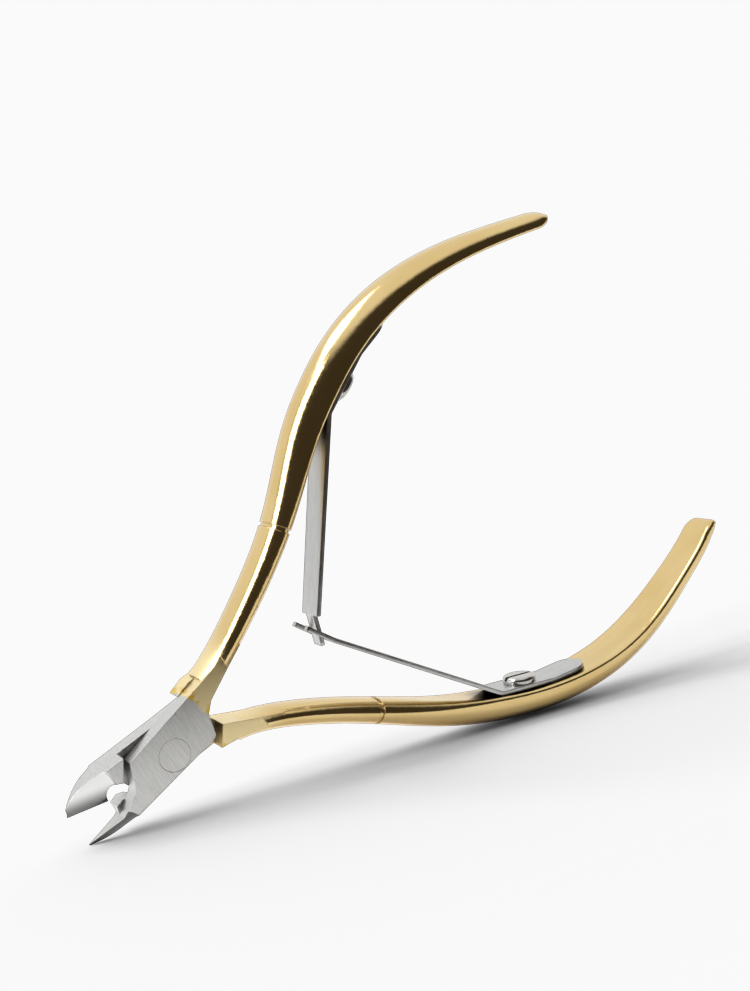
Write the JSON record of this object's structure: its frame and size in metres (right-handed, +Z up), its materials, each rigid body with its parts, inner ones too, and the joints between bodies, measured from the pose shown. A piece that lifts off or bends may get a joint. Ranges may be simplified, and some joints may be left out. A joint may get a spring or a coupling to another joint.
{
  "type": "cuticle nipper",
  "caption": "Cuticle nipper with short hollow-ground jaws, a riveted lap joint, gold-plated steel handles and hooked leaf springs that push the handles open.",
  "frame": {"origin": "on the surface the nipper stands on, under the middle of its bounding box", "axes": "+X from the jaws towards the handle ends, +Y along the pivot axis away from the face with the front joint plate, +Z up with the nipper standing on its lower jaw tip and lower handle"},
  "size_m": [0.1072, 0.008, 0.0727],
  "materials": {
    "lever_gold_and_steel": "bright gold plating on the handles up to the joint's rear edge; the joint plates and jaws are bare brushed steel",
    "rivet_steel": "ground flush with the joint's faces, brushed the same way",
    "spring_steel": "satin spring steel with polished edges",
    "screw_steel": "polished nickel plating"
  },
  "bodies": {
    "rear": {"rear_lever": "lever_gold_and_steel", "pivot_rivet": "rivet_steel", "lower_spring_screw": "screw_steel"},
    "front": {"front_lever": "lever_gold_and_steel", "upper_spring_screw": "screw_steel"},
    "upper_leaf": {"upper_leaf_spring": "spring_steel"},
    "lower_leaf": {"lower_leaf_spring": "spring_steel"}
  },
  "joints": [
    {"name": "pivot", "type": "hinge", "parent": "rear", "child": "front", "pos_m": [-0.03921, 0, 0.00935], "axis": [0, 1, 0], "range_deg": [-4, 17.8], "stiffness_Nm_per_rad": 1.2},
    {"name": "upper_leaf_flex", "type": "hinge", "parent": "front", "child": "upper_leaf", "pos_m": [-0.01062, 0, 0.04938], "axis": [0, 1, 0], "range_deg": [-2.3, 9.8], "deforming": ["upper_leaf_spring"]},
    {"name": "lower_leaf_flex", "type": "hinge", "parent": "rear", "child": "lower_leaf", "pos_m": [0.01053, 0, 0.00485], "axis": [0, 1, 0], "range_deg": [-10.5, 2.5], "deforming": ["lower_leaf_spring"]}
  ],
  "couplings": [
    {"joint": "upper_leaf_flex", "follows": "pivot", "ratio": 0.54},
    {"joint": "lower_leaf_flex", "follows": "pivot", "ratio": -0.58}
  ]
}
